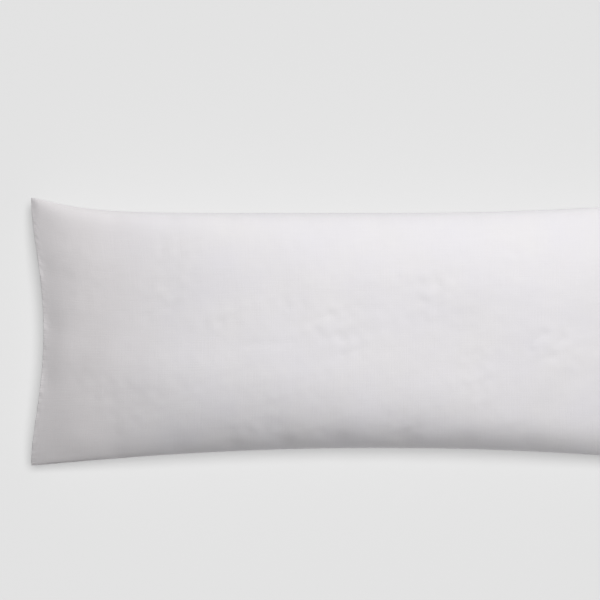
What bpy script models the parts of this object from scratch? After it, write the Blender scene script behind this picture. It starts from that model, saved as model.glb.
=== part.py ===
# Lumbar pillow insert, lying on its back.
#
# The real one is two equal panels of plain white cotton, laid face to face, sewn
# along their four sides, turned the right way out and stuffed until they are taut.
# So it is one filled solid: a raised crown above the seam, the same form below it,
# four sides that the stuffing has drawn in, four corners left standing as small
# ears, and a seam all round that is only as thick as the turned cloth.
#
# X runs along the length, Y across the width, Z up. The origin is on the surface
# that the pillow lies on, under the middle of its bounding box.

import bmesh
import bpy
import numpy as np

# The filled pillow, corner to corner, and how far the crown stands from the seam.
LENGTH = 0.884
WIDTH = 0.340
CROWN = 0.068
BELLY = 0.068

# The seam: its height above the surface, how far the corners hang below that
# height, and the thickness of the turned cloth at the edge.
SEAM_HEIGHT = 0.058
CORNER_DROP = 0.022
SEAM_THICKNESS = 0.002

# How the crown falls away toward the ends and toward the two long sides. A higher
# power keeps the middle flatter, and a lower fullness makes the edge steeper. The
# power of the back grows toward the left end, where the filling is packed fuller.
LENGTHWISE_POWER = 2.68
LENGTHWISE_FULLNESS = 0.98
FRONT_POWER = 2.8
FRONT_FULLNESS = 0.55
BACK_POWER = 2.0
BACK_POWER_GAIN = 3.14
BACK_FULLNESS = 0.425

# What the lengthwise fullness changes by at the corners: the ends are a little
# softer at the front corners and much steeper at the back ones.
FRONT_CORNER_CHANGE = 0.08
BACK_CORNER_CHANGE = -0.50

# How unevenly the filling lies between opposite corners.
UNEVEN = 0.315

# Wide oval places where the crown stands higher or lower, because the filling lies
# thicker or thinner under it: thicker along the front and to the left of the
# middle, and thinner to the right of it.
# (x, y, half length, half width, rise), in metres
SWELLS = [
    (0.070, -0.125, 0.200, 0.055, 0.0055),
    (-0.280, -0.055, 0.150, 0.045, 0.0055),
    (0.080, -0.010, 0.120, 0.080, -0.0055),
    (0.220, -0.125, 0.100, 0.025, 0.0055),
]

# The bulge of the filling behind each end seam, how far from the seam it stands,
# how far it runs toward the middle, and how it fades beside the long sides.
# end: (share of the crown, how much it leans toward the back)
END_BULGES = {
    "left": (0.087, 1.05),
    "right": (0.060, -0.30),
}
BULGE_START = 0.031
BULGE_LENGTH = 0.073
BULGE_FADE = 0.030

# The part of the belly that lies flat, as shares of the half length and half
# width, how far its surroundings stay clear of the surface, and half the height
# over which the belly rolls from hanging free to lying flat.
FOOTPRINT = (0.38, 0.38)
CLEARANCE = 0.0005
CONTACT_BLEND = 0.003

# How each side of the seam bends inward between its two corners. The depth is in
# the middle of the side. A power of 2 is an even curve, and a higher one keeps
# the side straight for longer before it turns into the corner. An ear above 1
# draws the last part out into a point.
# side: (depth, power to the low corner, power to the high corner, ear)
SIDES = {
    "left": (0.0189, 2.0, 2.0, 1.5),
    "right": (0.0180, 2.0, 2.0, 1.4),
    "front": (0.0246, 2.05, 2.05, 1.0),
    "back": (0.0208, 7.0, 2.2, 1.0),
}

# Places where the tight seam gathers the cloth into a soft pucker.
# (side, place along the side, width, reach from the seam, depth), in metres
PUCKERS = [
    ("front", -0.330, 0.020, 0.055, 0.0008),
    ("front", -0.252, 0.018, 0.050, 0.0009),
    ("front", -0.183, 0.017, 0.052, 0.0015),
    ("front", -0.120, 0.015, 0.050, 0.0015),
    ("front", -0.050, 0.017, 0.058, 0.0016),
    ("front", 0.032, 0.018, 0.060, 0.0017),
    ("front", 0.106, 0.016, 0.052, 0.0012),
    ("front", 0.186, 0.018, 0.054, 0.0013),
    ("front", 0.268, 0.017, 0.050, 0.0010),
    ("front", 0.340, 0.020, 0.055, 0.0008),
    ("back", -0.331, 0.019, 0.060, 0.0012),
    ("back", -0.264, 0.017, 0.052, 0.0011),
    ("back", -0.189, 0.019, 0.060, 0.0013),
    ("back", -0.098, 0.018, 0.050, 0.0008),
    ("back", -0.006, 0.018, 0.056, 0.0012),
    ("back", 0.113, 0.020, 0.064, 0.0014),
    ("back", 0.235, 0.018, 0.056, 0.0012),
    ("back", 0.322, 0.019, 0.054, 0.0010),
    ("left", -0.062, 0.018, 0.050, 0.0011),
    ("left", 0.010, 0.020, 0.056, 0.0013),
    ("left", 0.078, 0.017, 0.048, 0.0010),
    ("right", -0.066, 0.018, 0.050, 0.0011),
    ("right", 0.004, 0.020, 0.054, 0.0012),
    ("right", 0.070, 0.018, 0.048, 0.0011),
]

# The cells of one panel, and how much they crowd toward the seam.
CELLS_LONG = 76
CELLS_WIDE = 34
CROWDING = 0.55

CLOTH_COLOUR = (0.83, 0.82, 0.83, 1.0)


def crowd(u):
    """Spacing from -1 to 1 with smaller steps near both ends."""
    return (1 - CROWDING) * u + CROWDING * np.sin(u * np.pi / 2)


def bend(u, side):
    """How far a side is drawn in at u, which runs from -1 to 1 between its corners."""
    depth, low_power, high_power, ear = SIDES[side]
    power = np.where(u < 0, low_power, high_power)
    return depth * (1 - np.abs(u) ** power) ** ear


def plan(s, t):
    """Place of a panel point seen from above. Each edge takes its own bend, and
    inside the panel the bends of two opposite edges fade evenly into each other."""
    x = s * LENGTH / 2 + (1 - s) / 2 * bend(t, "left") - (1 + s) / 2 * bend(t, "right")
    y = t * WIDTH / 2 + (1 - t) / 2 * bend(s, "front") - (1 + t) / 2 * bend(s, "back")
    return x, y


def end_bulges(s, t):
    """Sum of the bulges behind the two end seams. Each starts flat at its seam, rises
    within two fingers' width and fades toward the middle and the long sides."""
    total = np.zeros_like(s)
    for end, (share, lean) in END_BULGES.items():
        away = (1 + s if end == "left" else 1 - s) * LENGTH / 2
        rise = 1 - np.exp(-(away / BULGE_START) ** 2)
        total += share * rise * np.exp(-away / BULGE_LENGTH) * (1 + lean * t)
    return total * (1 - np.exp(-(1 - np.abs(t)) * WIDTH / 2 / BULGE_FADE))


def fullness(s, t):
    """Share of the crown's height: 1 in the middle and 0 along the seam."""
    corner_change = np.where(t < 0, FRONT_CORNER_CHANGE, BACK_CORNER_CHANGE) * t ** 8
    lengthwise = (1 - np.abs(s) ** LENGTHWISE_POWER) ** (LENGTHWISE_FULLNESS + corner_change)
    front = (1 - np.abs(t) ** FRONT_POWER) ** FRONT_FULLNESS
    back_power = BACK_POWER + BACK_POWER_GAIN * ((1 - s) / 2) ** 2
    back = (1 - np.abs(t) ** back_power) ** BACK_FULLNESS
    crosswise = np.where(t < 0, front, back)
    uneven = UNEVEN * s * t * (1 - s ** 2) * (1 - t ** 2)
    return lengthwise * crosswise + end_bulges(s, t) + uneven


def pucker_depth(s, t):
    """Sum of the puckers: each is a narrow valley across its side that starts at
    the seam, is deepest a fifth of the way along its reach, and then fades out."""
    x, y = plan(s, t)
    away = {
        "front": (1 + t) * WIDTH / 2,
        "back": (1 - t) * WIDTH / 2,
        "left": (1 + s) * LENGTH / 2,
        "right": (1 - s) * LENGTH / 2,
    }
    total = np.zeros_like(x)
    for side, place, width, reach, depth in PUCKERS:
        along = x if side in ("front", "back") else y
        inward = away[side] / reach
        across = np.exp(-((along - place) / (width * (0.7 + 0.6 * inward))) ** 2)
        run = 5 * inward * np.exp(1 - 5 * inward)
        total += depth * across * run
    return total


def swell_height(s, t):
    """Sum of the swells, each an oval bell above or below the even crown."""
    x, y = plan(s, t)
    total = np.zeros_like(x)
    for centre_x, centre_y, half_x, half_y, rise in SWELLS:
        spread = ((x - centre_x) / half_x) ** 2 + ((y - centre_y) / half_y) ** 2
        total += rise * np.exp(-spread)
    return total


def lie_flat(height, s, t):
    """Height after the pillow is laid down. The belly rolls toward the surface over
    a short soft curve, lies on it inside the footprint, and just clears it outside."""
    near = np.clip(height, -CONTACT_BLEND, CONTACT_BLEND)
    rolled = np.maximum(height, (near + CONTACT_BLEND) ** 2 / (4 * CONTACT_BLEND))
    resting = (np.abs(s) <= FOOTPRINT[0]) & (np.abs(t) <= FOOTPRINT[1])
    return np.where(resting, 0.0, np.maximum(rolled, CLEARANCE))


def panel_points(s, t, upper):
    """The three coordinates of the upper or the lower panel at every (s, t)."""
    x, y = plan(s, t)
    seam = SEAM_HEIGHT - CORNER_DROP * s ** 6 * t ** 4
    full = fullness(s, t)
    puckers = pucker_depth(s, t)
    if upper:
        crown = CROWN + swell_height(s, t)
        z = seam + SEAM_THICKNESS / 2 + crown * full - puckers
    else:
        z = lie_flat(seam - SEAM_THICKNESS / 2 - BELLY * full + puckers, s, t)
    return np.stack([x, y, z], axis=-1)


def add_panel(mesh, upper):
    """Adds one panel to the mesh: a flat grid, moved onto the panel's form."""
    grid = bmesh.ops.create_grid(mesh, x_segments=CELLS_LONG, y_segments=CELLS_WIDE, size=1.0)
    points = grid["verts"]
    flat = np.array([point.co[:2] for point in points])
    placed = panel_points(crowd(flat[:, 0]), crowd(flat[:, 1]), upper)
    for point, place in zip(points, placed):
        point.co = place
    faces = {face for point in points for face in point.link_faces}
    if not upper:
        bmesh.ops.reverse_faces(mesh, faces=list(faces))
    return [edge for face in faces for edge in face.edges if edge.is_boundary]


def build_pillow():
    """The pillow as one closed body: two panels joined by the edge of the seam."""
    mesh = bmesh.new()
    upper_edge = add_panel(mesh, upper=True)
    lower_edge = add_panel(mesh, upper=False)
    bmesh.ops.bridge_loops(mesh, edges=upper_edge + lower_edge)
    bmesh.ops.recalc_face_normals(mesh, faces=mesh.faces)
    for face in mesh.faces:
        face.smooth = True
    places = np.array([point.co for point in mesh.verts])
    middle = (places.min(axis=0) + places.max(axis=0)) / 2
    for point in mesh.verts:
        point.co.x -= middle[0]
        point.co.y -= middle[1]
    data = bpy.data.meshes.new("pillow")
    mesh.to_mesh(data)
    mesh.free()
    return data


def cloth_material():
    """Plain white cotton: matt, with only a trace of sheen."""
    material = bpy.data.materials.new("white_cotton")
    material.use_nodes = True
    surface = material.node_tree.nodes["Principled BSDF"]
    surface.inputs["Base Color"].default_value = CLOTH_COLOUR
    surface.inputs["Roughness"].default_value = 0.9
    surface.inputs["Sheen Weight"].default_value = 0.15
    return material


for old in list(bpy.data.objects):
    bpy.data.objects.remove(old, do_unlink=True)

pillow = bpy.data.objects.new("pillow", build_pillow())
pillow.data.materials.append(cloth_material())
bpy.context.scene.collection.objects.link(pillow)

low = np.min([corner[:] for corner in pillow.bound_box], axis=0)
high = np.max([corner[:] for corner in pillow.bound_box], axis=0)
print("pillow box in millimetres:", ((high - low) * 1000).round(1))
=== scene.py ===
# %% [markdown]
# # A lumbar pillow insert, modelled as it is sewn
#
# The real thing is a bag of plain white cotton, stuffed until it is taut. Two equal
# panels are laid face to face, sewn along their four sides, turned and filled. This
# lesson follows the same order: it cuts the two panels flat, draws their seam to the
# outline that the stuffing gives it, lets a cloth simulation take up the slack, and
# then adds what a simulation of this size is too coarse for.
#
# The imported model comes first. It is the fixed frame that everything here must fit:
# a plain solid of the same pillow, lying on its back at z = 0.

import bpy
import numpy as np
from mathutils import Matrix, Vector


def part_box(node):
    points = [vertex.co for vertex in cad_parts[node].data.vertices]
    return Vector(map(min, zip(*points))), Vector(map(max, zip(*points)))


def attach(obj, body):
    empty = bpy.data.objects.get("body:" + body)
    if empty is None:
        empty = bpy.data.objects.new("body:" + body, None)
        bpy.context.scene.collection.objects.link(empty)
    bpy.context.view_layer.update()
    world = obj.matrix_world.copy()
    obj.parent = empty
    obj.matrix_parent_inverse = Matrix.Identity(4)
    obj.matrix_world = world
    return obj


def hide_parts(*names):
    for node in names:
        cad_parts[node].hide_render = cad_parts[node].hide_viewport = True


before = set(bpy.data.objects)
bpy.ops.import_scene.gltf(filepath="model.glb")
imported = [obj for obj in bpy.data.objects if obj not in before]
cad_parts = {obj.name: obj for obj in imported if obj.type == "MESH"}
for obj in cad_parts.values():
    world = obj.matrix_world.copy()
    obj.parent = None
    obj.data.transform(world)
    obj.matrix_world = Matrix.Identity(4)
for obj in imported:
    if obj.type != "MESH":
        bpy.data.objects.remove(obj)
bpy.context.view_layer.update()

low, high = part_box("pillow")
LENGTH, WIDTH, HEIGHT = high - low
print(f"frame: {LENGTH * 1000:.0f} by {WIDTH * 1000:.0f} by {HEIGHT * 1000:.0f} mm")

# %% [markdown]
# ## The outline
#
# A stuffed bag is not a rectangle any more. The stuffing takes up cloth, so each side
# bends inward between its corners, and the four corners are left standing as ears.
# Each side could be a hand-drawn curve. One formula with four numbers per side is
# shorter, and it keeps both panels in step, because both are made from it.

# %% The bend of each side
# side: (depth in the middle, power to the low corner, power to the high corner, ear)
SIDES = {
    "left": (0.0189, 2.0, 2.0, 1.5),
    "right": (0.0180, 2.0, 2.0, 1.4),
    "front": (0.0246, 2.05, 2.05, 1.0),
    "back": (0.0208, 7.0, 2.2, 1.0),
}


def bend(u, side):
    """How far a side is drawn in at u, from -1 to 1 between its corners: its depth
    times one minus the power of u, and all of that to the power of its ear."""
    depth, low_power, high_power, ear = SIDES[side]
    power = np.where(u < 0, low_power, high_power)
    return depth * (1 - np.abs(u) ** power) ** ear


def plan(s, t):
    """Place seen from above of the panel point (s, t), both from -1 to 1. The bends
    of two opposite sides fade evenly into each other across the panel."""
    x = s * LENGTH / 2 + (1 - s) / 2 * bend(t, "left") - (1 + s) / 2 * bend(t, "right")
    y = t * WIDTH / 2 + (1 - t) / 2 * bend(s, "front") - (1 + t) / 2 * bend(s, "back")
    return x, y


print("sides drawn in, mm:", {side: round(row[0] * 1000, 1) for side, row in SIDES.items()})

# %% [markdown]
# ## The stuffed form
#
# The crown of a well filled insert is flat in the middle and steep near the seam.
# One minus a power of the distance from the middle, raised to a fullness, gives such
# a curve. A power of two and a fullness of a half are an ellipse. The stuffing does
# not lie quite evenly: it is packed fuller in the back left corner, it bulges within
# a hand's breadth of each end seam, and a few wide swells lift or lower the crown by
# some millimetres. The seam lies at mid height, and a little lower at the corners,
# which hang free.

# %% Crown, belly and seam height
CROWN = 0.068
BELLY = 0.068
SEAM_HEIGHT = 0.058
CORNER_DROP = 0.022
# (power, fullness), and how much the back's power grows toward the left end
LENGTHWISE = (2.68, 0.98)
FRONT = (2.8, 0.55)
BACK = (2.0, 0.425)
BACK_GAIN = 3.14
# what the lengthwise fullness changes by at the front and at the back corners
CORNER_CHANGE = (0.08, -0.50)
UNEVEN = 0.315
# the bulge behind each end seam: its share of the crown, and its lean to the back
END_BULGES = {"left": (0.087, 1.05), "right": (0.060, -0.30)}
BULGE_START = 0.031
BULGE_LENGTH = 0.073
BULGE_FADE = 0.030
# (x, y, half length, half width, rise), below zero where the stuffing is thinner
SWELLS = [
    (0.070, -0.125, 0.200, 0.055, 0.0055),
    (-0.280, -0.055, 0.150, 0.045, 0.0055),
    (0.080, -0.010, 0.120, 0.080, -0.0055),
    (0.220, -0.125, 0.100, 0.025, 0.0055),
]


def fall(u, power, fullness):
    """Share of the crown left at u: one minus u to its power, to its fullness."""
    return np.clip(1 - np.abs(u) ** power, 0, 1) ** fullness


def end_bulges(s, t):
    """Sum of the two bulges. Each is one minus a bell around its end seam, times a
    slow fade toward the middle and a quick one toward the long sides. It leans toward
    the back or the front."""
    total = 0
    for side, (share, lean) in END_BULGES.items():
        away = (1 + s if side == "left" else 1 - s) * LENGTH / 2
        rise = 1 - np.exp(-(away / BULGE_START) ** 2)
        total = total + share * rise * np.exp(-away / BULGE_LENGTH) * (1 + lean * t)
    return total * (1 - np.exp(-(1 - np.abs(t)) * WIDTH / 2 / BULGE_FADE))


def height_share(s, t):
    """Share of the crown's height: one in the middle, zero along the seam. It is a
    lengthwise fall times a crosswise one, plus the end bulges and a slow twist that
    makes two opposite corners fuller than the other two. The lengthwise fullness
    changes toward the corners, and the back's power grows toward the left end."""
    power, fullness = LENGTHWISE
    along = fall(s, power, fullness + np.where(t < 0, *CORNER_CHANGE) * t ** 8)
    back_power = BACK[0] + BACK_GAIN * ((1 - s) / 2) ** 2
    across = np.where(t < 0, fall(t, *FRONT), fall(t, back_power, BACK[1]))
    twist = UNEVEN * s * t * (1 - s ** 2) * (1 - t ** 2)
    return along * across + end_bulges(s, t) + twist


def swells(x, y):
    """Sum of the swells, each an oval bell above or below the even crown."""
    total = np.zeros_like(x)
    for centre_x, centre_y, half_x, half_y, rise in SWELLS:
        total += rise * np.exp(-((x - centre_x) / half_x) ** 2 - ((y - centre_y) / half_y) ** 2)
    return total


def form(s, t, rise):
    """The stuffed panel: its place in plan, and a rise over the seam's height. The
    swells add to the rise of the crown. The belly has none."""
    x, y = plan(s, t)
    z = SEAM_HEIGHT - CORNER_DROP * s ** 6 * t ** 4
    if rise > 0:
        rise = rise + swells(x, y)
    return np.stack([x, y, z + rise * height_share(s, t)], axis=-1)


middle = form(np.array([0.0, 0.0]), np.array([0.0, 1.0]), CROWN)
print(f"crown {middle[0, 2] * 1000:.0f} mm above the surface, seam {middle[1, 2] * 1000:.0f} mm")

# %% [markdown]
# ## The flat cut
#
# Cloth hardly stretches, so the panel must be cut as long as the arc that it will
# cover. The arc is measured along the form's two middle lines, and the grid lines are
# put at equal lengths of it. Then a square of the flat panel stays a square of the
# stuffed one, and any cloth to spare has to go into folds, as it does in life.

# %% Measure the arcs and lay out the threads
CELLS = (88, 36)
SPARE = (1.000, 1.005)
ARC_POINTS = 20001


def even_arcs(lengthwise, count):
    """Places from -1 to 1 whose arcs along a middle line are equally long, with the
    length of the whole arc. The arc is the sum of many short chords."""
    fine = np.sin(np.linspace(-1, 1, ARC_POINTS) * np.pi / 2)
    still = np.zeros_like(fine)
    line = form(fine, still, CROWN) if lengthwise else form(still, fine, CROWN)
    chords = np.linalg.norm(np.diff(line, axis=0), axis=1)
    along = np.concatenate([[0.0], np.cumsum(chords)])
    places = np.interp(np.linspace(0, along[-1], count + 1), along, fine)
    return places.clip(-1, 1), along[-1]


threads_s, arc_long = even_arcs(True, CELLS[0])
threads_t, arc_wide = even_arcs(False, CELLS[1])
cut = (arc_long * SPARE[0], arc_wide * SPARE[1])
print(f"each panel is cut {cut[0] * 1000:.0f} by {cut[1] * 1000:.0f} mm")

# %% [markdown]
# ## One closed bag
#
# Both panels are grids of the same size that share their rim. The upper one keeps all
# of its points. The lower one has points of its own only inside, and uses the upper
# one's along the seam, so the bag is closed with nothing to weld.

# %% Number the points of the bag
START_DOME = 0.006

s, t = np.meshgrid(threads_s, threads_t, indexing="ij")
rim = np.isclose(np.abs(s), 1) | np.isclose(np.abs(t), 1)
upper = np.arange(s.size).reshape(s.shape)
lower = upper.copy()
lower[~rim] = s.size + np.arange((~rim).sum())


def squares(numbers, facing_up):
    """Four-sided faces between neighbouring points of a grid of point numbers."""
    corners = [numbers[:-1, :-1], numbers[1:, :-1], numbers[1:, 1:], numbers[:-1, 1:]]
    found = np.stack(corners, axis=-1).reshape(-1, 4)
    return found if facing_up else found[:, ::-1]


def both(upper_points, lower_points):
    """Points of the whole bag: all of the upper grid, then the inside of the lower."""
    return np.concatenate([upper_points.reshape(-1, 3), lower_points[~rim]])


def flat_panel(lift):
    """The cut panel lying flat, with a slight dome so that the two stay apart."""
    along, across = np.meshgrid(*(np.linspace(-0.5, 0.5, n + 1) for n in CELLS), indexing="ij")
    dome = lift * fall(2 * along, 2, 1) * fall(2 * across, 2, 1)
    return np.stack([along * cut[0], across * cut[1], SEAM_HEIGHT + dome], axis=-1)


flat_bag = both(flat_panel(START_DOME), flat_panel(-START_DOME))
full_bag = both(form(s, t, CROWN), form(s, t, -BELLY))
bag_faces = np.concatenate([squares(upper, True), squares(lower, False)])
print(len(flat_bag), "points and", len(bag_faces), "faces in the bag")

# %% [markdown]
# ## Stuffing it
#
# The simulation starts from the flat cut, so that is the size its threads keep. A
# shape key then draws every point toward the stuffed form in the first frames. The
# seam is held to it fully and the rest a little less, as firm stuffing would, so the
# cloth can still find its own small folds where it has length to spare. Gravity is
# off: the weight of the cover is nothing against the push of the stuffing.

# %% Run the cloth simulation
DRAW_FRAMES = 12
SETTLE_FRAMES = 34
HOLD = 0.9


def stuffed(flat_points, full_points):
    """Points of the bag after the simulation, in the order they were given."""
    mesh = bpy.data.meshes.new("bag")
    mesh.from_pydata(flat_points.tolist(), [], bag_faces.tolist())
    bag = bpy.data.objects.new("bag", mesh)
    bpy.context.scene.collection.objects.link(bag)
    bag.shape_key_add(name="flat")
    drawn = bag.shape_key_add(name="drawn")
    drawn.data.foreach_set("co", full_points.astype(np.float32).ravel())
    for value, at in ((0.0, 1), (1.0, DRAW_FRAMES)):
        drawn.value = value
        drawn.keyframe_insert("value", frame=at)
    held = bag.vertex_groups.new(name="held")
    held.add([int(i) for i in upper[rim]], 1.0, "REPLACE")
    held.add([int(i) for i in np.concatenate([upper[~rim], lower[~rim]])], HOLD, "REPLACE")
    cloth = bag.modifiers.new("cloth", "CLOTH")
    thread = cloth.settings
    thread.quality = 5
    thread.mass = 0.01
    thread.tension_stiffness = thread.compression_stiffness = 15
    thread.shear_stiffness = 5
    thread.bending_stiffness = 0.2
    thread.air_damping = 1
    thread.use_pressure = True
    thread.uniform_pressure_force = 1
    thread.vertex_group_mass = "held"
    thread.effector_weights.gravity = 0
    cloth.collision_settings.use_collision = False
    cloth.point_cache.frame_end = SETTLE_FRAMES
    for at in range(1, SETTLE_FRAMES + 1):
        bpy.context.scene.frame_set(at)
    settled = bag.evaluated_get(bpy.context.evaluated_depsgraph_get())
    places = np.empty(len(flat_points) * 3, dtype=np.float32)
    settled.data.vertices.foreach_get("co", places)
    action = mesh.shape_keys.animation_data.action
    bpy.data.objects.remove(bag)
    bpy.data.meshes.remove(mesh)
    bpy.data.actions.remove(action)
    bpy.context.scene.frame_set(1)
    return places.reshape(-1, 3).astype(float)


shifts = stuffed(flat_bag, full_bag) - full_bag
moved = np.linalg.norm(shifts, axis=1)
print(f"the cloth moved {moved.mean() * 1000:.1f} mm on average, {moved.max() * 1000:.1f} at most")

# %% [markdown]
# ## Cloth folds without grid folds
#
# Folds that are only one cell wide are the grid's and not the cloth's. They are seen
# as a fine hatch near the corners. Averaging each shift with its neighbours, a few
# times over, takes them out and leaves every wider fold. A finer grid would do it too,
# for many times the work. The seam is left exactly where it was sewn.

# %% Smooth the shifts
SMOOTHING_PASSES = 3


def smoothing(count):
    """Matrix of repeated passes of a quarter, a half and a quarter along a row of
    count points. Its first and last points stay as they are."""
    one_pass = np.eye(count) / 2 + np.eye(count, k=1) / 4 + np.eye(count, k=-1) / 4
    one_pass[[0, -1]] = np.eye(count)[[0, -1]]
    return np.linalg.matrix_power(one_pass, SMOOTHING_PASSES)


def settled(numbers):
    """Points of one panel: its stuffed form and the smoothed shifts of the cloth."""
    along, across = smoothing(CELLS[0] + 1), smoothing(CELLS[1] + 1)
    return full_bag[numbers] + np.einsum("ai,ijk,bj->abk", along, shifts[numbers], across)


upper_points, lower_points = settled(upper), settled(lower)
change = np.linalg.norm(upper_points - full_bag[upper] - shifts[upper], axis=-1)
print(f"smoothing moved a point by {change.mean() * 1000:.2f} mm on average")

# %% [markdown]
# ## A finer surface
#
# The simulation's cells are 10 mm wide, and the cover needs cells of under 3 mm. A
# subdivision modifier would do, but it also rounds the seam off. A cubic curve
# through the points keeps them all. Each new row is a weighted sum of four old ones,
# so the whole refinement is one matrix on the left and one on the right. One extra
# row lies close to each rim, so the turn of the cloth into the seam stays narrow. The
# two panels also part here, by the thickness that their folded allowances take up.

# %% Refine both panels
FINE = (330, 136)
CLOSE_ROW = 0.15


def fine_places(old, new):
    """Where the new points lie among the old ones: in even steps from zero to old,
    and one more at a small share of a step from each end."""
    at = np.linspace(0, old, new + 1)
    close = CLOSE_ROW * at[1]
    return np.concatenate([at[:1], [close], at[1:-1], [old - close], at[-1:]])


def cubic_weights(old, new):
    """Matrix that takes old + 1 points to the new ones along a smooth curve through
    them. Past each end the curve is continued by one mirrored point."""
    at = fine_places(old, new)
    first = np.minimum(at.astype(int), old - 1)
    f = at - first
    shares = [
        (-f + 2 * f ** 2 - f ** 3) / 2,
        (2 - 5 * f ** 2 + 3 * f ** 3) / 2,
        (f + 4 * f ** 2 - 3 * f ** 3) / 2,
        (f ** 3 - f ** 2) / 2,
    ]
    padded = np.zeros((len(at), old + 3))
    for step, share in enumerate(shares):
        padded[np.arange(len(at)), first + step] = share
    weights = padded[:, 1:-1].copy()
    weights[:, 0] += 2 * padded[:, 0]
    weights[:, 1] -= padded[:, 0]
    weights[:, -1] += 2 * padded[:, -1]
    weights[:, -2] -= padded[:, -1]
    return weights


def refined(coarse):
    """The same grid with more points: weights along it, then weights across it."""
    along = cubic_weights(CELLS[0], FINE[0])
    across = cubic_weights(CELLS[1], FINE[1])
    return np.einsum("ai,ijk,bj->abk", along, coarse, across)


RIM_HALF = 0.0012
fine_upper = refined(upper_points) + [0, 0, RIM_HALF]
fine_lower = refined(lower_points) - [0, 0, RIM_HALF]
fs, ft = refined(np.stack([s, t], axis=-1)).transpose(2, 0, 1).clip(-1, 1)
print("fine cells are", (1000 * cut[0] / FINE[0]).round(1), "by", (1000 * cut[1] / FINE[1]).round(1), "mm")

# %% [markdown]
# ## Puckers, dents and lumps
#
# The tight seam gathers the cloth into soft puckers, and here and there a tuft of
# fibre is missing under it, which leaves a dent. Both could be painted as bump, but
# their shading turns with the light only if they are real. Each is a row of a short
# table, and slow waves stand for the unevenness that has no single place.

# %% Tables of the relief, in metres
# (side, place along the side, width, reach from the seam, depth)
PUCKERS = [
    ("front", -0.330, 0.020, 0.055, 0.0008),
    ("front", -0.252, 0.018, 0.050, 0.0009),
    ("front", -0.183, 0.017, 0.052, 0.0015),
    ("front", -0.120, 0.015, 0.050, 0.0015),
    ("front", -0.050, 0.017, 0.058, 0.0016),
    ("front", 0.032, 0.018, 0.060, 0.0017),
    ("front", 0.106, 0.016, 0.052, 0.0012),
    ("front", 0.186, 0.018, 0.054, 0.0013),
    ("front", 0.268, 0.017, 0.050, 0.0010),
    ("front", 0.340, 0.020, 0.055, 0.0008),
    ("back", -0.331, 0.019, 0.060, 0.0012),
    ("back", -0.264, 0.017, 0.052, 0.0011),
    ("back", -0.189, 0.019, 0.060, 0.0013),
    ("back", -0.098, 0.018, 0.050, 0.0008),
    ("back", -0.006, 0.018, 0.056, 0.0012),
    ("back", 0.113, 0.020, 0.064, 0.0014),
    ("back", 0.235, 0.018, 0.056, 0.0012),
    ("back", 0.322, 0.019, 0.054, 0.0010),
    ("left", -0.062, 0.018, 0.050, 0.0011),
    ("left", 0.010, 0.020, 0.056, 0.0013),
    ("left", 0.078, 0.017, 0.048, 0.0010),
    ("right", -0.066, 0.018, 0.050, 0.0011),
    ("right", 0.004, 0.020, 0.054, 0.0012),
    ("right", 0.070, 0.018, 0.048, 0.0011),
]
# (x, y, half length, half width, turn in radians, depth)
DENTS = [
    (-0.145, -0.013, 0.026, 0.006, 0.05, 0.00070),
    (-0.306, -0.076, 0.008, 0.005, 0.3, 0.00020),
    (-0.264, -0.023, 0.009, 0.006, -0.4, 0.00024),
    (-0.256, -0.055, 0.010, 0.005, 0.6, 0.00026),
    (-0.330, -0.124, 0.006, 0.010, 0.1, 0.00026),
    (0.089, 0.004, 0.009, 0.006, 0.2, 0.00018),
    (0.170, 0.070, 0.010, 0.006, -0.2, 0.00020),
    (0.232, 0.120, 0.008, 0.012, 0.0, 0.00024),
    (-0.006, 0.107, 0.011, 0.006, 0.1, 0.00018),
    (-0.060, 0.044, 0.008, 0.005, 0.5, 0.00016),
    (-0.105, 0.047, 0.007, 0.006, 0.0, 0.00016),
    (-0.076, 0.122, 0.010, 0.006, -0.1, 0.00018),
]
# where a pucker is deepest, as one part in so many of its reach, then its width at
# the seam, and how much wider it is at its end, both as shares of the row's width
PUCKER_PEAK = 5
PUCKER_SPREAD = (0.7, 0.6)
# heights of the lumps and tufts, and the shortest and longest waves that they and the
# patches of tufts are made of
LUMP_HEIGHT = 0.00035
LUMP_WAVES = (0.045, 0.140)
TUFT_HEIGHT = 0.00024
TUFT_WAVES = (0.013, 0.034)
PATCH_WAVES = (0.080, 0.160)
WAVE_COUNT = 26
# how strong the tufts are where they are felt least and most, and what they lose
# toward the four sides
TUFT_SHARES = (0.35, 1.15)
TUFT_LOSS = 0.72
# the roll of cloth beside the left seam: its height, how soon it rises and fades away
# from the seam, and the place across the panel, from -1 to 1, where it begins
ROLL_HEIGHT = 0.0045
ROLL_START = 0.016
ROLL_FADE = 0.030
ROLL_FROM = -0.3
# how steeply the relief sets in from the ends and from the long sides
RELIEF_RISE = (6, 3)
print(len(PUCKERS), "puckers and", len(DENTS), "dents to press in")

# %% [markdown]
# ## Pressing the relief in
#
# Each kind of relief is one function of the place on the panel that gives a depth. The
# depths are added, and the points move by the sum along the panel's own normals, so a
# dent on the steep flank is pressed into the flank and not straight down. A displace
# modifier does the same with a picture of the depths, at the price of painting it.

# %% Depths of the relief, and the panels with it
def puckers(x, y, s, t):
    """Sum of narrow valleys across the sides. Each is a bell across its width, and
    along its reach it starts at the seam, is deepest a fifth of the way and fades."""
    away = {
        "front": (1 + t) * WIDTH / 2,
        "back": (1 - t) * WIDTH / 2,
        "left": (1 + s) * LENGTH / 2,
        "right": (1 - s) * LENGTH / 2,
    }
    total = np.zeros_like(x)
    for side, place, width, reach, depth in PUCKERS:
        along = x if side in ("front", "back") else y
        inward = away[side] / reach
        spread = PUCKER_SPREAD[0] + PUCKER_SPREAD[1] * inward
        across = np.exp(-((along - place) / (width * spread)) ** 2)
        total += depth * across * PUCKER_PEAK * inward * np.exp(1 - PUCKER_PEAK * inward)
    return total


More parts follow.
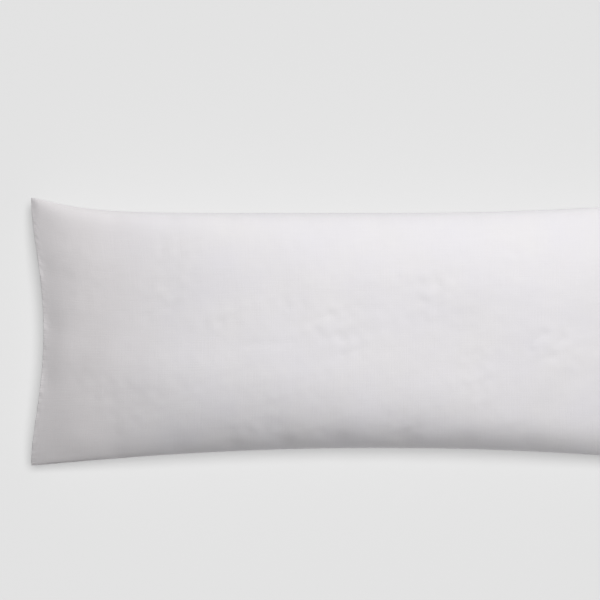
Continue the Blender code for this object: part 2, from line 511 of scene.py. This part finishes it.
def dents(x, y):
    """Sum of turned oval bells, each a place where a tuft of fibre is missing."""
    total = np.zeros_like(x)
    for centre_x, centre_y, half_x, half_y, turn, depth in DENTS:
        dx, dy = x - centre_x, y - centre_y
        along = (dx * np.cos(turn) + dy * np.sin(turn)) / half_x
        across = (dy * np.cos(turn) - dx * np.sin(turn)) / half_y
        total += depth * np.exp(-along ** 2 - across ** 2)
    return total


def waves(x, y, seed, shortest, longest):
    """Waves in random directions, their lengths between two limits, added with random
    phases and divided by the root of half their number, so their usual size is one."""
    chance = np.random.default_rng(seed)
    total = np.zeros_like(x)
    for _ in range(WAVE_COUNT):
        turn = chance.uniform(0, np.pi)
        pace = 2 * np.pi / chance.uniform(shortest, longest)
        phase = chance.uniform(0, 2 * np.pi)
        total += np.sin(pace * (x * np.cos(turn) + y * np.sin(turn)) + phase)
    return total / np.sqrt(WAVE_COUNT / 2)


def lumps(x, y, seed):
    """Slow unevenness of the stuffing, and small tufts of fibre. These are felt more
    and less with a second slow wave, kept between two shares, and they fade with the
    square of the way from the middle to a side."""
    patches = np.clip(waves(x, y, seed + 20, *PATCH_WAVES), *TUFT_SHARES)
    outer = (2 * x / LENGTH) ** 2 + (2 * y / WIDTH) ** 2
    patches = patches * (1 - TUFT_LOSS * np.minimum(1, outer))
    tufts = waves(x, y, seed + 10, *TUFT_WAVES) * patches
    return LUMP_HEIGHT * waves(x, y, seed, *LUMP_WAVES) + TUFT_HEIGHT * tufts


def left_roll(s, t):
    """Rise beside the left seam: one minus a quick decay, times a slower decay, so it
    is steep at first and gone within a hand's breadth. It grows evenly from its
    beginning to the back corner, where the stuffing is packed hard."""
    away = (1 + s) * LENGTH / 2
    rise = (1 - np.exp(-away / ROLL_START)) * np.exp(-away / ROLL_FADE)
    return ROLL_HEIGHT * rise * np.clip((t - ROLL_FROM) / (1 - ROLL_FROM), 0, 1)


def outward(points, facing_up):
    """Unit normals of a grid of points, from the cross product of its two slopes."""
    along, across = np.gradient(points, axis=0), np.gradient(points, axis=1)
    normals = np.cross(along, across) * (1 if facing_up else -1)
    return normals / np.linalg.norm(normals, axis=-1, keepdims=True)


def relieved(points, facing_up, seed):
    """The panel with its relief pressed in along its normals, none of it at the seam."""
    x, y, _ = points.transpose(2, 0, 1)
    from_ends, from_sides = fall(fs, 2, 1) * RELIEF_RISE[0], fall(ft, 2, 1) * RELIEF_RISE[1]
    inside = np.minimum(1, from_ends) * np.minimum(1, from_sides)
    depth = puckers(x, y, fs, ft) + lumps(x, y, seed) * inside
    if facing_up:
        depth = depth + dents(x, y) - left_roll(fs, ft)
    return points - outward(points, facing_up) * (depth * (inside > 0))[..., None]


smooth_upper = fine_upper
fine_upper = relieved(fine_upper, True, 3)
fine_lower = relieved(fine_lower, False, 4)
pressed = np.linalg.norm(fine_upper - smooth_upper, axis=-1)
print(f"the relief moved the upper panel by {pressed.max() * 1000:.1f} mm at most")

# %% [markdown]
# ## Laying it down
#
# The pillow's weight flattens its belly where it lies. A collision in the simulation
# would do the same for more time. Here everything that hangs below the surface is
# laid on it, with a short soft curve in between, so the belly rolls onto the surface
# and does not end in an edge.

# %% Flatten the belly
CONTACT_BLEND = 0.006
# lower than this, a point counts as lying on the surface
TOUCHING = 1e-6


def laid_down(points):
    """The points with their heights pressed up to the surface: height plus blend,
    squared, over four blends near the surface, and plain zero below it."""
    placed = points.copy()
    near = np.clip(placed[..., 2], -CONTACT_BLEND, CONTACT_BLEND)
    placed[..., 2] = np.maximum(placed[..., 2], (near + CONTACT_BLEND) ** 2 / (4 * CONTACT_BLEND))
    return placed


fine_lower = laid_down(fine_lower)
on_surface = (fine_lower[..., 2] < TOUCHING).mean()
print(f"{on_surface:.0%} of the lower panel's points lie on the surface")

# %% [markdown]
# ## The seam
#
# On a turned seam the two panels do not meet in a sharp edge. Each one rolls over its
# own folded allowance, and the stitches pull the line between them inward. So three
# rings of points close the edge: the upper and the lower roll stand a little out, and
# the bottom of a fine groove lies between and behind them.

# %% Put the cover together
# (height above the middle of the seam, distance outward)
RINGS = [(0.0006, 0.0004), (0.0, -0.0004), (-0.0006, 0.0004)]


def around(grid):
    """The rim of a grid as one loop: front, right, back and left, no corner twice."""
    return np.concatenate([grid[:, 0], grid[-1, 1:], grid[-2::-1, -1], grid[0, -2:0:-1]])


def outward_of(loop):
    """Level unit vectors that point out of a closed loop of points."""
    ahead = np.roll(loop, -1, axis=0) - np.roll(loop, 1, axis=0)
    out = np.stack([ahead[:, 1], -ahead[:, 0], np.zeros(len(loop))], axis=-1)
    return out / np.linalg.norm(out, axis=1, keepdims=True)


def cover_mesh():
    """The two panels and the rings between them, as one closed mesh."""
    loop = (around(fine_upper) + around(fine_lower)) / 2
    rings = [loop + outward_of(loop) * out + [0, 0, up] for up, out in RINGS]
    count = fs.size
    numbers = np.arange(count).reshape(fs.shape)
    between = 2 * count + np.arange(len(RINGS) * len(loop)).reshape(len(RINGS), -1)
    order = [around(numbers), *between, around(numbers + count)]
    faces = [squares(numbers, True), squares(numbers + count, False)]
    for above, below in zip(order[:-1], order[1:]):
        faces.append(np.stack([above, below, np.roll(below, -1), np.roll(above, -1)], axis=-1))
    points = np.concatenate([fine_upper.reshape(-1, 3), fine_lower.reshape(-1, 3), *rings])
    mesh = bpy.data.meshes.new("pillow_cover")
    mesh.from_pydata(points.tolist(), [], np.concatenate(faces).tolist())
    mesh.shade_smooth()
    return mesh


cover = bpy.data.objects.new("pillow_cover", cover_mesh())
bpy.context.scene.collection.objects.link(cover)
print(len(cover.data.polygons) * 2, "triangles in the cover")

# %% [markdown]
# ## Coordinates for the cloth
#
# A woven pattern has to follow the threads, not the room. So each point also keeps
# its place on the flat cut panel, in metres. Two more numbers serve the seam: how far
# a point is from the nearest side, and where along that side it is. All three go into
# the mesh as attributes, which a material can read by name.

# %% Store the cut place and the place at the seam
# how far apart the two panels lie on the length of cloth, in panel widths
PANEL_SPACING = 1.1


def for_all_points(upper, lower):
    """One row for each point of the cover, from the numbers of the two panels. The
    rings between the panels take those of the rim above them."""
    rim = around(upper)
    flat = [numbers.reshape(-1, *numbers.shape[2:]) for numbers in (upper, lower)]
    return np.concatenate([*flat, *[rim] * len(RINGS)])


def store(name, kind, field, numbers):
    """Writes numbers into the cover's mesh as a named attribute of its points."""
    attribute = cover.data.attributes.new(name, kind, "POINT")
    attribute.data.foreach_set(field, numbers.ravel())


shares_cut = [fine_places(old, new) / old - 0.5 for old, new in zip(CELLS, FINE)]
along, across = np.meshgrid(shares_cut[0] * cut[0], shares_cut[1] * cut[1], indexing="ij")
to_end, to_side = cut[0] / 2 - np.abs(along), cut[1] / 2 - np.abs(across)
upper_cut = np.stack([along, across, np.zeros_like(along)], axis=-1)
# the lower panel lies beside the upper one, as on one length of cloth
lower_cut = upper_cut + [0, PANEL_SPACING * cut[1], 0]
store("cut_place", "FLOAT_VECTOR", "vector", for_all_points(upper_cut, lower_cut))
from_seam = np.minimum(to_end, to_side)
along_seam = np.where(to_end < to_side, across, along)
store("from_seam", "FLOAT", "value", for_all_points(from_seam, from_seam))
store("along_seam", "FLOAT", "value", for_all_points(along_seam, along_seam))
print("furthest point from the seam:", (from_seam.max() * 1000).round(), "mm")

# %% [markdown]
# ## Tools for node groups
#
# The cotton is built from a few effects: the weave, the uneven yarn, the faint
# clouding of bleached cloth, and the gathers beside the seam. Each is a node group
# with named sockets, so it can be tried alone and used in another material. Three
# short helpers keep the groups readable.

# %% Helpers for groups
def new_group(name, inputs, outputs):
    """A shader group with the sockets that the two lists name. Returns the group, its
    inputs as they come into it, and its outputs as the sockets that they are wired to."""
    group = bpy.data.node_groups.new(name, "ShaderNodeTree")
    for label, kind, value in inputs:
        socket = group.interface.new_socket(label, in_out="INPUT", socket_type=kind)
        if value is not None:
            socket.default_value = value
    for label, kind in outputs:
        group.interface.new_socket(label, in_out="OUTPUT", socket_type=kind)
    start, end = group.nodes.new("NodeGroupInput"), group.nodes.new("NodeGroupOutput")
    return group, start.outputs, end.inputs


def put(tree, kind, *values, operation=None):
    """Adds a node, sets or links its inputs in order, and returns its outputs."""
    node = tree.nodes.new(kind)
    if operation:
        node.operation = operation
    for socket, value in zip(node.inputs, values):
        if isinstance(value, bpy.types.NodeSocket):
            tree.links.new(value, socket)
        elif value is not None:
            socket.default_value = value
    return node.outputs


def math_node(tree, operation, *values):
    """One math node: its result."""
    return put(tree, "ShaderNodeMath", *values, operation=operation)[0]


print("three helpers for node groups")

# %% [markdown]
# ## Plain weave
#
# Every thread goes over one crossing thread and under the next. A picture of cloth
# would do, but it would repeat and blur. Two sines give the same surface at any size:
# one is zero between the lengthwise threads, the other between the crosswise ones.
# Their product changes sign from crossing to crossing, which says who is on top.

# %% Group: plain weave
def plain_weave_group():
    """Height from 0 to 1: the higher of two threads at each place. A thread's height
    is its round back, the size of its sine, times a half plus or minus half the
    product of both sines."""
    group, given, out = new_group("plain weave", [
        ("Place", "NodeSocketVector", None),
        ("Threads per metre", "NodeSocketFloat", 1600.0),
    ], [("Height", "NodeSocketFloat")])
    scaled = put(group, "ShaderNodeVectorMath", given["Place"], operation="SCALE")
    group.links.new(given["Threads per metre"], scaled[0].node.inputs["Scale"])
    x, y, _ = put(group, "ShaderNodeSeparateXYZ", scaled[0])
    sines = [math_node(group, "SINE", math_node(group, "MULTIPLY", axis, np.pi)) for axis in (x, y)]
    half_product = math_node(group, "MULTIPLY", math_node(group, "MULTIPLY", *sines), 0.5)
    lengthwise = math_node(group, "ADD", half_product, 0.5)
    crosswise = math_node(group, "SUBTRACT", 0.5, half_product)
    backs = [
        math_node(group, "MULTIPLY", math_node(group, "ABSOLUTE", sine), over)
        for sine, over in zip(sines, (lengthwise, crosswise))
    ]
    group.links.new(math_node(group, "MAXIMUM", *backs), out["Height"])
    return group


weave = plain_weave_group()
print("plain weave:", len(weave.nodes), "nodes")

# %% [markdown]
# ## Uneven yarn
#
# Spun cotton is never the same thickness for long. Thicker runs, called slubs, show as
# faint streaks along both thread directions. They are what is still seen of a weave
# from some way off. A noise that is stretched along one direction gives the streaks of
# that direction, and the sum of two gives the cloth.

# %% Group: slubs
def slub_group():
    """Streaks from 0 to 1: the mean of two noises, one stretched along each
    direction. A streak is about as wide as 1 divided by its fineness."""
    group, given, out = new_group("slubs", [
        ("Place", "NodeSocketVector", None),
        ("Fineness", "NodeSocketFloat", 700.0),
        ("Stretch", "NodeSocketFloat", 30.0),
    ], [("Streaks", "NodeSocketFloat")])
    slow = math_node(group, "DIVIDE", given["Fineness"], given["Stretch"])
    noises = []
    for x, y, lift in ((slow, given["Fineness"], 0.0), (given["Fineness"], slow, 7.0)):
        scale = put(group, "ShaderNodeCombineXYZ", x, y, 1.0)[0]
        place = put(group, "ShaderNodeVectorMath", given["Place"], scale, operation="MULTIPLY")[0]
        shifted = put(group, "ShaderNodeVectorMath", place, (0.0, 0.0, lift), operation="ADD")[0]
        noise = put(group, "ShaderNodeTexNoise", shifted)[0].node
        noise.inputs["Scale"].default_value = 1.0
        noise.inputs["Detail"].default_value = 2.0
        noises.append(noise.outputs[0])
    mean = math_node(group, "MULTIPLY", math_node(group, "ADD", *noises), 0.5)
    group.links.new(mean, out["Streaks"])
    return group


slubs = slub_group()
print("slubs:", len(slubs.nodes), "nodes")

# %% [markdown]
# ## Clouding and gathers
#
# Bleached cotton is not one white. Slow clouds lean a little warm or a little cool,
# and the cloth is a shade greyer along the seam: partly dust that its folds hold,
# partly painted shade where the cloth turns into the seam. Each stitch of a tight
# seam also pinches the cloth, so the rim is crimped at every stitch, and beside it the
# cloth is gathered into ripples a few millimetres wide, which die away within a
# finger's breadth. All that is too fine for the mesh, so it is bump.

# %% Groups: clouds and seam gathers
# the part of the noise's range that the clouds are spread over
CLOUD_RANGE = (0.32, 0.68)


def cloud_group():
    """Clouds from 0 to 1: a noise of the given size, with its contrast raised."""
    group, given, out = new_group("clouds", [
        ("Place", "NodeSocketVector", None),
        ("Clouds per metre", "NodeSocketFloat", 14.0),
    ], [("Clouds", "NodeSocketFloat")])
    noise = put(group, "ShaderNodeTexNoise", given["Place"])[0].node
    group.links.new(given["Clouds per metre"], noise.inputs["Scale"])
    noise.inputs["Detail"].default_value = 3.0
    spread = put(group, "ShaderNodeMapRange", noise.outputs[0], *CLOUD_RANGE, 0.0, 1.0)[0]
    group.links.new(spread, out["Clouds"])
    return group


def gather_group():
    """Three outputs. Near is one at the seam and falls to zero over the reach. Ripples
    are a noise of short waves, times the square of near. Crimps are the size of a
    sine with a zero at each stitch, times the eighth power of near."""
    group, given, out = new_group("seam gathers", [
        ("Place", "NodeSocketVector", None),
        ("From seam", "NodeSocketFloat", 0.0),
        ("Along seam", "NodeSocketFloat", 0.0),
        ("Reach", "NodeSocketFloat", 0.016),
        ("Ripples per metre", "NodeSocketFloat", 170.0),
        ("Stitches per metre", "NodeSocketFloat", 350.0),
    ], [("Near", "NodeSocketFloat"), ("Ripples", "NodeSocketFloat"), ("Crimps", "NodeSocketFloat")])
    share = math_node(group, "DIVIDE", given["From seam"], given["Reach"])
    near = put(group, "ShaderNodeMapRange", share, 0.0, 1.0, 1.0, 0.0)[0]
    noise = put(group, "ShaderNodeTexNoise", given["Place"])[0].node
    group.links.new(given["Ripples per metre"], noise.inputs["Scale"])
    noise.inputs["Detail"].default_value = 0.0
    ripples = math_node(group, "MULTIPLY", noise.outputs[0], math_node(group, "POWER", near, 2.0))
    turns = math_node(group, "MULTIPLY", given["Along seam"], given["Stitches per metre"])
    wave = math_node(group, "SINE", math_node(group, "MULTIPLY", turns, np.pi))
    size, fade = math_node(group, "ABSOLUTE", wave), math_node(group, "POWER", near, 8.0)
    crimps = math_node(group, "MULTIPLY", size, fade)
    group.links.new(near, out["Near"])
    group.links.new(ripples, out["Ripples"])
    group.links.new(crimps, out["Crimps"])
    return group


clouds, gathers = cloud_group(), gather_group()
print("clouds and seam gathers:", len(clouds.nodes) + len(gathers.nodes), "nodes")

# %% [markdown]
# ## White cotton
#
# The groups come together in one plain shader. Cotton is matt, and its loose fibre
# ends catch light at a grazing angle, which is what the sheen is for. Colour changes
# by only a few percent, because this is a clean white cloth. It is a little warmer
# toward both ends.

# %% Material: white cotton
COOL_WHITE = (0.794, 0.777, 0.808, 1.0)
WARM_WHITE = (0.808, 0.790, 0.804, 1.0)
SHADED_WHITE = (0.702, 0.686, 0.702, 1.0)
END_WARM_WHITE = (0.808, 0.779, 0.789, 1.0)
# how far from the middle the cloth begins to turn warmer, and where it fully does
END_WARMTH_RANGE = (0.25, 0.36)
THREADS_PER_METRE = 1600.0
SLUB_FINENESS = 620.0
SLUB_STRETCH = 26.0
CLOUDS_PER_METRE = 13.0
# how much the colour turns to the shaded white: painted shade between threads, a
# darker tone where the yarn is thin, and dust with painted shade at the seam
THREAD_SHADE = 0.16
YARN_SHADE = 0.13
SEAM_DUST_AND_SHADE = 0.10
# the part of the streaks' range over which the yarn goes from thin to thick
YARN_RANGE = (0.35, 0.65)
# depths of the bump, in metres
THREAD_DEPTH = 0.00004
STREAK_DEPTH = 0.00020
RIPPLE_DEPTH = 0.0010
CRIMP_DEPTH = 0.00025


def in_material(tree, group, **values):
    """Places a group in a material, sets or links its named inputs, returns outputs."""
    node = tree.nodes.new("ShaderNodeGroup")
    node.node_tree = group
    for label, value in values.items():
        socket = node.inputs[label.replace("_", " ")]
        if isinstance(value, bpy.types.NodeSocket):
            tree.links.new(value, socket)
        else:
            socket.default_value = value
    return node.outputs


def stored(tree, name):
    """The outputs of a node that reads one of the mesh's named attributes."""
    node = tree.nodes.new("ShaderNodeAttribute")
    node.attribute_name = name
    return node.outputs


def mixed(tree, share, first, second):
    """A colour between two others, by a share from 0 to 1."""
    node = tree.nodes.new("ShaderNodeMix")
    node.data_type = "RGBA"
    for label, value in (("Factor", share), ("A", first), ("B", second)):
        if isinstance(value, bpy.types.NodeSocket):
            tree.links.new(value, node.inputs[label])
        else:
            node.inputs[label].default_value = value
    return node.outputs["Result"]


def cotton_material():
    """White cotton. In the colour: clouds, warmer ends, thin yarn, painted shade between
    threads, and dust and painted shade at the seam. In the bump: threads, streaks, gathers."""
    material = bpy.data.materials.new("white_cotton")
    material.use_nodes = True
    tree = material.node_tree
    surface = tree.nodes["Principled BSDF"]
    surface.inputs["Roughness"].default_value = 0.92
    surface.inputs["Specular IOR Level"].default_value = 0.25
    surface.inputs["Sheen Weight"].default_value = 0.10
    surface.inputs["Sheen Roughness"].default_value = 0.5
    place = stored(tree, "cut_place")["Vector"]
    from_seam, along_seam = stored(tree, "from_seam")["Fac"], stored(tree, "along_seam")["Fac"]
    threads = in_material(tree, weave, Place=place, Threads_per_metre=THREADS_PER_METRE)["Height"]
    yarn = in_material(tree, slubs, Place=place, Fineness=SLUB_FINENESS, Stretch=SLUB_STRETCH)
    streaks = yarn["Streaks"]
    cloudy = in_material(tree, clouds, Place=place, Clouds_per_metre=CLOUDS_PER_METRE)["Clouds"]
    gather = in_material(tree, gathers, Place=place, From_seam=from_seam, Along_seam=along_seam)

    off_middle = math_node(tree, "ABSOLUTE", put(tree, "ShaderNodeSeparateXYZ", place)[0])
    toward_end = put(tree, "ShaderNodeMapRange", off_middle, *END_WARMTH_RANGE, 0.0, 1.0)[0]
    # the colour turns a little warmer toward both ends
    white = mixed(tree, toward_end, mixed(tree, cloudy, COOL_WHITE, WARM_WHITE), END_WARM_WHITE)
    # painted shade in the gaps between the threads, where the weave's height is low
    thread_gap_shade = math_node(tree, "MULTIPLY", math_node(tree, "SUBTRACT", 1.0, threads), THREAD_SHADE)
    thin_yarn = put(tree, "ShaderNodeMapRange", streaks, *YARN_RANGE, YARN_SHADE, 0.0)[0]
    # greyer beside the seam: partly dust in its folds, partly painted shade of the cloth's turn into the
    # seam
    seam_dust_and_shade = math_node(tree, "MULTIPLY", gather["Near"], SEAM_DUST_AND_SHADE)
    shade = math_node(tree, "ADD", math_node(tree, "ADD", thread_gap_shade, thin_yarn), seam_dust_and_shade)
    tree.links.new(mixed(tree, shade, white, SHADED_WHITE), surface.inputs["Base Color"])

    normal = None
    reliefs = [
        (threads, THREAD_DEPTH),
        (streaks, STREAK_DEPTH),
        (gather["Ripples"], RIPPLE_DEPTH),
        (gather["Crimps"], CRIMP_DEPTH),
    ]
    for height, depth in reliefs:
        bump = tree.nodes.new("ShaderNodeBump")
        bump.inputs["Strength"].default_value = 1.0
        bump.inputs["Distance"].default_value = depth
        tree.links.new(height, bump.inputs["Height"])
        if normal is not None:
            tree.links.new(normal, bump.inputs["Normal"])
        normal = bump.outputs["Normal"]
    tree.links.new(normal, surface.inputs["Normal"])
    return material


cover.data.materials.append(cotton_material())
print("white cotton:", len(cover.data.materials[0].node_tree.nodes), "nodes")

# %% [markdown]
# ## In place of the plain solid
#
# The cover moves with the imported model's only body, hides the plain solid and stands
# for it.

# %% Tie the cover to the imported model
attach(cover, "root")
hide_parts("pillow")
print(cover.name, "stands for the pillow's solid")

# %% [markdown]
# ## Floor, camera and light
#
# The backdrop of such a picture is often a white table that is also lit from below. It
# stays even, and it takes up little of the light that the pillow throws on it. So the
# floor here gives off a part of its light itself and reflects a quarter of what falls
# on it, which is enough for a soft shadow.
#
# The camera looks straight down on the pillow's face. It is aimed off the middle, so
# the right end runs out of the frame. A far camera with a long lens keeps both long
# sides nearly parallel, as they are on the real thing when it is seen from afar.

# %% A pale floor and the camera
SHOWN_WIDTH = 0.7556
LENS = 100.0
SENSOR = 36.0
AIM = (-0.1007, 0.0403)
FLOOR_HALF = 4.0
FLOOR_GREY = (0.25, 0.25, 0.25, 1.0)
FLOOR_GLOW = 0.319

floor_mesh = bpy.data.meshes.new("floor")
floor_corners = [(x * FLOOR_HALF, y * FLOOR_HALF, 0) for x, y in ((-1, -1), (1, -1), (1, 1), (-1, 1))]
floor_mesh.from_pydata(floor_corners, [], [(0, 1, 2, 3)])
floor = bpy.data.objects.new("floor", floor_mesh)
bpy.context.scene.collection.objects.link(floor)
pale = bpy.data.materials.new("pale_floor")
pale.use_nodes = True
pale_surface = pale.node_tree.nodes["Principled BSDF"]
pale_surface.inputs["Base Color"].default_value = FLOOR_GREY
pale_surface.inputs["Roughness"].default_value = 1.0
pale_surface.inputs["Specular IOR Level"].default_value = 0.0
pale_surface.inputs["Emission Color"].default_value = (1.0, 1.0, 1.0, 1.0)
pale_surface.inputs["Emission Strength"].default_value = FLOOR_GLOW
floor_mesh.materials.append(pale)

camera_data = bpy.data.cameras.new("camera")
camera_data.lens = LENS
camera_data.sensor_width = SENSOR
camera = bpy.data.objects.new("camera", camera_data)
camera.location = (AIM[0], AIM[1], SEAM_HEIGHT + SHOWN_WIDTH * LENS / SENSOR)
bpy.context.scene.collection.objects.link(camera)
bpy.context.scene.camera = camera
print("camera height", round(camera.location.z, 3), "m")

# %% [markdown]
# A product studio lights the thing and its backdrop apart, so the backdrop stays
# even while the cloth is shaped by one large soft box. Lamps can do the same: each
# one here is linked to what it may light. The key stands behind the back edge, a
# little to the right. That leaves the front edge and the left end in soft shade. A
# weak fill opens up the front, and a very weak low box lights the steep back flank. A
# high sun on the floor alone throws a short shadow.

# %% Lamps
# name: (compass angle from +Y to +X and height in degrees, size in metres, power)
SOFT_BOXES = {
    "key": (15, 62, 1.2, 59.0),
    "fill": (150, 30, 1.2, 12.2),
    "back": (0, 15, 1.2, 2.2),
}
BOX_DISTANCE = 2.5
# (compass angle and height, width of the light in degrees, strength)
SUN = (51, 76, 26, 5.7)


def direction(around_z, height):
    """Unit vector toward a lamp, from its compass angle and its height in degrees."""
    around_z, height = np.radians(around_z), np.radians(height)
    return Vector((np.cos(height) * np.sin(around_z), np.cos(height) * np.cos(around_z), np.sin(height)))


def lamp(name, kind, power, toward, distance, lights_only):
    """A lamp aimed at the origin that lights one object and nothing else."""
    data = bpy.data.lights.new(name, kind)
    data.energy = power
    placed = bpy.data.objects.new(name, data)
    placed.location = toward * distance
    placed.rotation_euler = (-toward).to_track_quat("-Z", "Y").to_euler()
    receivers = bpy.data.collections.new(f"lit_by_{name}")
    receivers.objects.link(lights_only)
    placed.light_linking.receiver_collection = receivers
    bpy.context.scene.collection.objects.link(placed)
    return data


for name, (around_z, height, size, power) in SOFT_BOXES.items():
    lamp(name, "AREA", power, direction(around_z, height), BOX_DISTANCE, cover).size = size
lamp("sun", "SUN", SUN[3], direction(*SUN[:2]), BOX_DISTANCE, floor).angle = np.radians(SUN[2])

# %% [markdown]
# The studio behind the table is seen only from low down. It is as pale as the floor
# to the camera. To everything else it is nearly dark, or it would light the pillow
# evenly from all sides and wash out its form.

# %% The studio around it
BACKDROP = 0.78
STRAY_LIGHT = 0.02

world = bpy.data.worlds.new("studio")
world.use_nodes = True
studio = world.node_tree
seen = studio.nodes.new("ShaderNodeLightPath").outputs["Is Camera Ray"]
strength = studio.nodes.new("ShaderNodeMix")
strength.inputs["A"].default_value = STRAY_LIGHT
strength.inputs["B"].default_value = BACKDROP
studio.links.new(seen, strength.inputs["Factor"])
studio.links.new(strength.outputs["Result"], studio.nodes["Background"].inputs["Strength"])
studio.nodes["Background"].inputs["Color"].default_value = (1, 1, 1, 1)
bpy.context.scene.world = world
bpy.context.scene.view_settings.view_transform = "Standard"
print(len(SOFT_BOXES) + 1, "lamps, and a backdrop of", BACKDROP)
